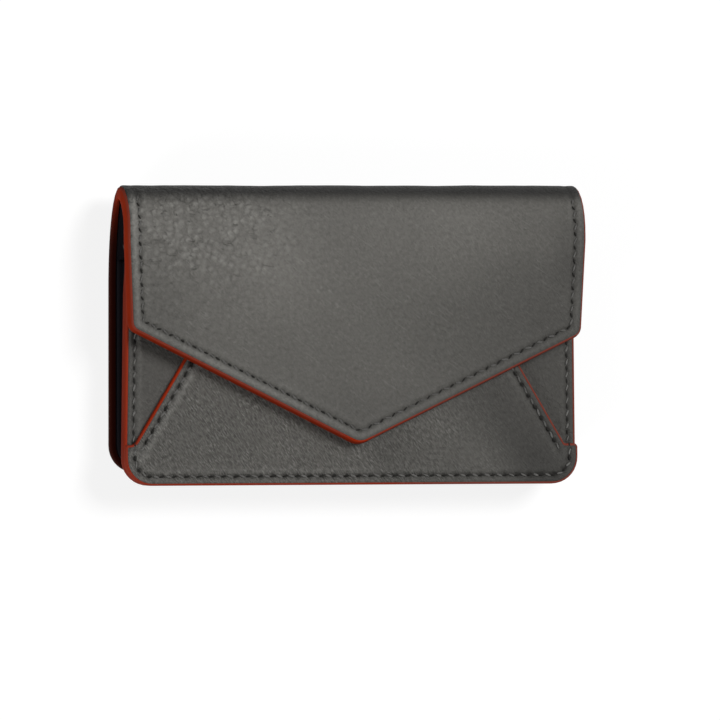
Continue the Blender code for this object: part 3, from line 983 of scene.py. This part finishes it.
class Nodes:
    def __init__(self, tree):
        self.tree = tree

    # any node: its type, then its settings, then what its sockets hold
    def node(self, kind, settings, sockets, out=0):
        node = self.tree.nodes.new("ShaderNode" + kind)
        for key, value in settings.items():
            setattr(node, key, value)
        for key, value in sockets.items():
            plug(self.tree, node.inputs[key], value)
        return Wire(node.outputs[out])

    def mix(self, share, first, second):
        return self.node("Mix", {"data_type": "RGBA"}, {0: share, 6: first, 7: second}, out=2)

    def attribute(self, name, out=2):
        return self.node("Attribute", {"attribute_name": name}, {}, out=out)

    def bump(self, height, distance, strength):
        return self.node("Bump", {}, {"Height": height, "Distance": distance, "Strength": strength})

    def noise(self, place, scale, detail, out=0, **others):
        sockets = {"Vector": place, "Scale": scale, "Detail": detail, **others}
        return self.node("TexNoise", {}, sockets, out=out)

    def bands(self, place, scale, direction="X", **others):
        settings = {"wave_type": "BANDS", "bands_direction": direction}
        return self.node("TexWave", settings, {"Vector": place, "Scale": scale, **others})

    def cells(self, place, scale, feature="F1", **others):
        return self.node("TexVoronoi", {"feature": feature}, {"Vector": place, "Scale": scale, **others})

    # a pattern's own directions: turned, and drawn out to the given lengths
    def turn(self, place, degrees, lengths):
        sockets = {"Vector": place, "Rotation": (0, 0, math.radians(degrees)), "Scale": lengths}
        return self.node("Mapping", {"vector_type": "TEXTURE"}, sockets)

    # 0 below low, 1 above high, eased between
    def step(self, value, low, high):
        sockets = {"Value": value, "From Min": low, "From Max": high}
        return self.node("MapRange", {"interpolation_type": "SMOOTHSTEP"}, sockets)

    # 1 for a ray that leaves the camera or reaches it by a reflection or through glass
    def seen(self):
        kinds = ("Is Camera Ray", "Is Glossy Ray", "Is Transmission Ray")
        camera, glossy, through = (self.node("LightPath", {}, {}, out=kind) for kind in kinds)
        return camera.sum("MAXIMUM", camera.sum("MAXIMUM", camera, glossy), through)


class Finish(Nodes):
    def __init__(self, name, constants):
        self.material = bpy.data.materials.new(name)
        self.material.use_nodes = True
        super().__init__(self.material.node_tree)
        self.shader = self.tree.nodes["Principled BSDF"]
        for key, value in constants.items():
            self.shader.inputs[key].default_value = value

    def feed(self, sockets):
        for key, value in sockets.items():
            plug(self.tree, self.shader.inputs[key], value)
        return self.material


leatherLook = {
    "base": (0.090, 0.0868, 0.0795, 1),
    "light": (0.118, 0.1138, 0.1042, 1),
    "dark": (0.014, 0.0135, 0.0125, 1),
    # pale leather, for rubbed grain and for painted highlights
    "wearAndPaintedLight": (0.24, 0.235, 0.218, 1),
    "pebbles": 0.66,  # per millimetre
    "grain": 1.5,
    "specks": 0.62,
    "fleckTurn": -54.0,  # degrees
    "scratchTurn": -36.0,
    "creaseTurn": -12.0,
}


def leatherFinish():
    look = Finish("grey_leather", {"IOR": 1.45, "Specular IOR Level": 0.2})
    place = look.attribute("flat", out=1)
    seam, rim = look.attribute("seam"), look.attribute("rim")
    pebble, wrinkle = look.attribute("pebble"), look.attribute("wrinkle")
    bend = look.noise(place, 0.45, 2.0, out=1)
    bent = look.node("VectorMath", {"operation": "ADD"}, {0: place, 1: bend})

    # soft pebbles with a few creases between them
    domes = look.cells(bent, leatherLook["pebbles"], "SMOOTH_F1", Smoothness=0.6)
    edges = look.cells(bent, leatherLook["pebbles"], "DISTANCE_TO_EDGE")
    patchy = look.step(look.noise(place, 0.16, 2.0), 0.36, 0.62)
    broken = look.step(look.noise(place, 0.42, 2.0), 0.50, 0.64)
    gaps = (1 - look.step(edges, 0.0, 0.22)) * (0.3 + broken * 0.7)
    tops = (1 - look.step(domes, 0.12, 0.66)) * (0.45 + patchy * 0.55)

    # a fine grain, a mottle and sparse pale specks over everything
    grain = look.cells(bent, leatherLook["grain"], "SMOOTH_F1", Smoothness=0.4)
    beads = 1 - look.step(grain, 0.05, 0.6)
    fine = look.noise(place, 3.4, 4.0, Roughness=0.65)
    mottle = look.noise(place, 1.1, 4.0, Roughness=0.6)
    broad = look.noise(place, 0.06, 3.0)
    dots = look.cells(place, leatherLook["specks"])
    specks = (1 - look.step(dots, 0.06, 0.24)) * look.step(mottle, 0.44, 0.58)

    # short slanting flecks where the leather is stretched over the front
    turned = look.turn(place, leatherLook["fleckTurn"], (1.15, 0.27, 1))
    strokes = look.noise(turned, 1.0, 2.5, Roughness=0.6, Distortion=0.5)
    flecks = look.step(strokes, 0.50, 0.66) * wrinkle * (0.4 + patchy * 0.6)
    furrows = (1 - look.step(strokes, 0.34, 0.50)) * wrinkle

    # fine pale scratches, and a few dark creases that curve across the pebbles
    scratched = look.turn(place, leatherLook["scratchTurn"], (5.5, 0.5, 1))
    streaks = look.noise(scratched, 1.0, 2.0, Distortion=0.6)
    scratches = look.step(streaks, 0.60, 0.70) * patchy
    folded = look.turn(place, leatherLook["creaseTurn"], (6.0, 2.4, 1))
    swept = look.noise(folded, 1.0, 1.0, Distortion=0.8)
    creases = look.step(swept, 0.485, 0.5) * (1 - look.step(swept, 0.5, 0.515)) * broken

    height = (
        (tops * 1.2 - gaps * 0.35) * pebble + beads * (0.22 + pebble * 0.2) + fine * 0.3 + mottle * 0.9
        + (flecks - furrows * 0.8) * 0.7 + scratches * 0.3 - creases * pebble * 0.6
    )
    bump = look.bump(height, 0.00022, 1.0)
    tone = look.mix(broad, leatherLook["base"], leatherLook["light"])
    grained = look.mix(specks * 0.14 + beads * 0.05 + scratches * 0.22, tone, leatherLook["wearAndPaintedLight"])
    domed = look.mix(tops * pebble * 0.40, grained, leatherLook["wearAndPaintedLight"])
    creased = look.mix((gaps * 0.30 + creases * 0.46) * pebble + furrows * 0.42, domed, leatherLook["dark"])
    # the welt's painted highlight
    welt = look.attribute("welt") * (0.22 + mottle * 0.5)
    flecked = look.mix(flecks * 0.66 + welt, creased, leatherLook["wearAndPaintedLight"])
    # each sheet's tone attribute brings in its painted highlight and shade, on the cover partly rubbed
    # leather, here mottled
    paintedLightAndMottle = look.attribute("tone") * (0.62 + mottle * 0.76)
    toned = look.node("VectorMath", {"operation": "SCALE"}, {0: flecked, "Scale": paintedLightAndMottle})
    # painted shade in the seam's groove and at its needle holes
    shaded = look.mix(seam * 0.62, toned, leatherLook["dark"])
    # painted shade along the fold's crest
    crestShaded = look.mix(look.attribute("crestWearAndShade"), shaded, leatherLook["dark"])
    ended = look.mix(rim * 0.12, crestShaded, leatherLook["dark"])
    rough = 0.48 + fine * 0.14 - tops * pebble * 0.08 + seam * 0.15
    return look.feed({"Base Color": ended, "Roughness": rough, "Normal": bump})


def edgeFinish():
    look = Finish("red_edge_paint", {"IOR": 1.5, "Specular IOR Level": 0.02})
    place = look.node("TexCoord", {}, {}, out=3)
    streak = look.noise(place, 420.0, 3.0)
    broad = look.noise(place, 60.0, 2.0)
    color = look.mix(broad, (0.33, 0.024, 0.004, 1), (0.41, 0.036, 0.006, 1))
    streaked = look.mix(streak * 0.4, color, (0.22, 0.012, 0.003, 1))
    # paler, duller paint, with the painted highlight along the upper rim
    dullAndSheenColor = look.mix(look.attribute("dullingAndSheen"), streaked, (0.21, 0.048, 0.033, 1))
    # painted shade towards the paint's foot and on the back
    wearAndPaintedLight = look.mix(look.attribute("wearAndPaintedLight") * 0.96, dullAndSheenColor, (0.011, 0.0026, 0.0016, 1))
    bump = look.bump(streak, 0.00005, 0.5)
    return look.feed({"Base Color": wearAndPaintedLight, "Roughness": 0.56 + streak * 0.14, "Normal": bump})


def liningFinish():
    look = Finish("black_lining", {"IOR": 1.4, "Specular IOR Level": 0.12})
    place = look.attribute("flat", out=1)
    warpThreads, weftThreads = look.bands(place, 1.1), look.bands(place, 1.1, "Y")
    weave = warpThreads.sum("MAXIMUM", warpThreads, weftThreads)
    fibre = look.noise(place, 6.0, 3.0)
    # black cloth, made darker still as painted shade inside the case
    color = look.mix(weave * 0.6 + fibre * 0.3, (0.0022, 0.0020, 0.0030, 1), (0.0085, 0.0075, 0.0105, 1))
    bump = look.bump(weave + fibre * 0.4, 0.00008, 0.7)
    return look.feed({"Base Color": color, "Roughness": 0.72 + fibre * 0.15, "Normal": bump})


def threadFinish():
    look = Finish("grey_thread", {"IOR": 1.45})
    place = look.attribute("twist", out=1)
    turned = look.node("Mapping", {}, {"Vector": place, "Rotation": (0, 0, math.radians(32))})
    twist = look.bands(turned, 1.6, Distortion=0.6)
    # the thread's twists get a painted highlight, stronger on rows with more paintedHighlight
    lit = twist * (0.25 + look.attribute("paintedHighlight") * 0.75)
    color = look.mix(lit, (0.085, 0.083, 0.078, 1), (0.27, 0.265, 0.25, 1))
    # painted shade along the fold's crest
    wearAndPaintedLight = look.mix(look.attribute("crestWearAndShade") * 0.85, color, leatherLook["dark"])
    bump = look.bump(twist, 0.00012, 0.8)
    return look.feed({"Base Color": wearAndPaintedLight, "Roughness": 0.5 + twist * 0.1, "Normal": bump})


def holeShadeFinish():
    look = Finish("needle_hole_shade", {"IOR": 1.4, "Specular IOR Level": 0.1})
    place = look.node("TexCoord", {}, {}, out=3)
    fibre = look.noise(place, 2500.0, 2.0)
    # near-black: the painted shade inside a needle hole
    color = look.mix(fibre, (0.014, 0.014, 0.013, 1), (0.034, 0.033, 0.030, 1))
    return look.feed({"Base Color": color, "Roughness": 0.8 + fibre * 0.1})


def metalFinish(name, paintedHighlight, deep, metallic, roughness):
    look = Finish(name, {"Metallic": metallic, "IOR": 1.6})
    place = look.node("TexCoord", {}, {}, out=3)
    brushed = look.noise(place, 900.0, 4.0)
    broad = look.noise(place, 160.0, 2.0)
    color = look.mix(broad, deep, paintedHighlight)
    bump = look.bump(brushed, 0.00002, 0.5)
    return look.feed({"Base Color": color, "Roughness": roughness + brushed * 0.15, "Normal": bump})


greyLeather = leatherFinish()
redPaint = edgeFinish()
blackLining = liningFinish()
greyThread = threadFinish()
holeShade = holeShadeFinish()
nickel = metalFinish("nickel_plate", (0.66, 0.63, 0.59, 1), (0.52, 0.50, 0.47, 1), 1.0, 0.22)
ferrite = metalFinish("bare_ferrite", (0.085, 0.083, 0.085, 1), (0.045, 0.044, 0.047, 1), 0.3, 0.5)


def paint(obj, material):
    obj.data.materials.clear()
    obj.data.materials.append(material)


def dress(piece, material, nodes=(), bends=False):
    paint(piece, material)
    if bends:
        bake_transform(piece)
    else:
        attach(piece, "case")
    if nodes:
        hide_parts(*nodes)


dress(cover, greyLeather, ("back_leather", "flap_leather"), bends=True)
dress(coverEdge, redPaint, ("back_core", "flap_core"), bends=True)
dress(coverLining, blackLining, ("back_lining", "flap_lining"), bends=True)
dress(coverThread, greyThread, bends=True)
dress(innerThread, greyThread, bends=True)
dress(coverHolesPiece, holeShade, bends=True)
dress(pocketLeather, greyLeather, ("pocket_leather",))
dress(envelopeLeather, greyLeather, ("envelope_leather",))
dress(pocketEdge, redPaint, ("pocket_core",))
dress(envelopeEdge, redPaint, ("envelope_core",))
dress(pocketLining, blackLining, ("pocket_lining",))
dress(gusset, blackLining, ("gusset",))
for thread in (pocketThread, *slantThreads):
    dress(thread, greyThread)
for holes in (pocketHolesPiece, *slantHolesPieces):
    dress(holes, holeShade)
for node, material in (("snap_socket", nickel), ("snap_stud", nickel), ("snap_magnet", ferrite)):
    paint(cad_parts[node], material)
print("finishes on")


# camera, lamps and floor
view = {
    "yaw": 17.7,  # degrees
    "pitch": 0.5,
    "distance": 3.0,
    "lens": 654.0,
    "sensor": 36.0,
    "clip": (0.01, 20.0),
    "right": 2.98 * mm,
    "down": 5.73 * mm,
}
yaw, pitch = math.radians(view["yaw"]), math.radians(view["pitch"])
back = Vector((-math.sin(yaw) * math.cos(pitch), math.sin(pitch), math.cos(yaw) * math.cos(pitch)))
rightWay = Vector((math.cos(yaw), 0, math.sin(yaw)))
upWay = back.cross(rightWay)
aim = Vector((0, 0, case["depth"] / 2)) + rightWay * view["right"] - upWay * view["down"]
letGo()
bpy.ops.object.camera_add(location=aim + back * view["distance"])
camera = bpy.context.object
camera.name = "camera"
camera.rotation_euler = Matrix((rightWay, upWay, back)).transposed().to_euler()
camera.data.lens = view["lens"]
camera.data.sensor_width = view["sensor"]
camera.data.clip_start, camera.data.clip_end = view["clip"]
bpy.context.scene.camera = camera

lamps = {
    "key": {"place": (0.62, 0.50, 1.05), "size": 0.50, "power": 13.6},
    "fill": {"place": (-1.00, -0.75, 0.48), "size": 0.6, "power": 10.6},
}
for name, lamp in lamps.items():
    letGo()
    bpy.ops.object.light_add(type="AREA", location=lamp["place"])
    light = bpy.context.object
    light.name = name
    light.data.size = lamp["size"]
    light.data.energy = lamp["power"]
    light.rotation_euler = Vector(lamp["place"]).to_track_quat("Z", "Y").to_euler()
    light.visible_camera = False

world = bpy.data.worlds.new("studio")
bpy.context.scene.world = world
world.use_nodes = True
sky = Nodes(world.node_tree)
seen = sky.seen()
dim, white = (0.06, 0.06, 0.06, 1), (1, 1, 1, 1)
plug(sky.tree, sky.tree.nodes["Background"].inputs["Color"], sky.mix(seen, dim, white))

letGo()
bpy.ops.mesh.primitive_plane_add(size=6, location=(0, 0, -0.05 * mm))
floor = bpy.context.object
floor.name = "floor"
bpy.ops.object.transform_apply(location=True, rotation=True, scale=True)
floorLook = Finish("pale_floor", {
    "Base Color": (0.25, 0.25, 0.25, 1),
    "Roughness": 0.9,
    "Specular IOR Level": 0.0,
    "Emission Strength": 1.0,
})
floorLook.feed({"Emission Color": floorLook.mix(floorLook.seen(), (0, 0, 0, 1), (0.82, 0.82, 0.82, 1))})
paint(floor, floorLook.material)
bpy.context.scene.view_settings.view_transform = "Standard"
print("studio made")

bpy.context.view_layer.update()
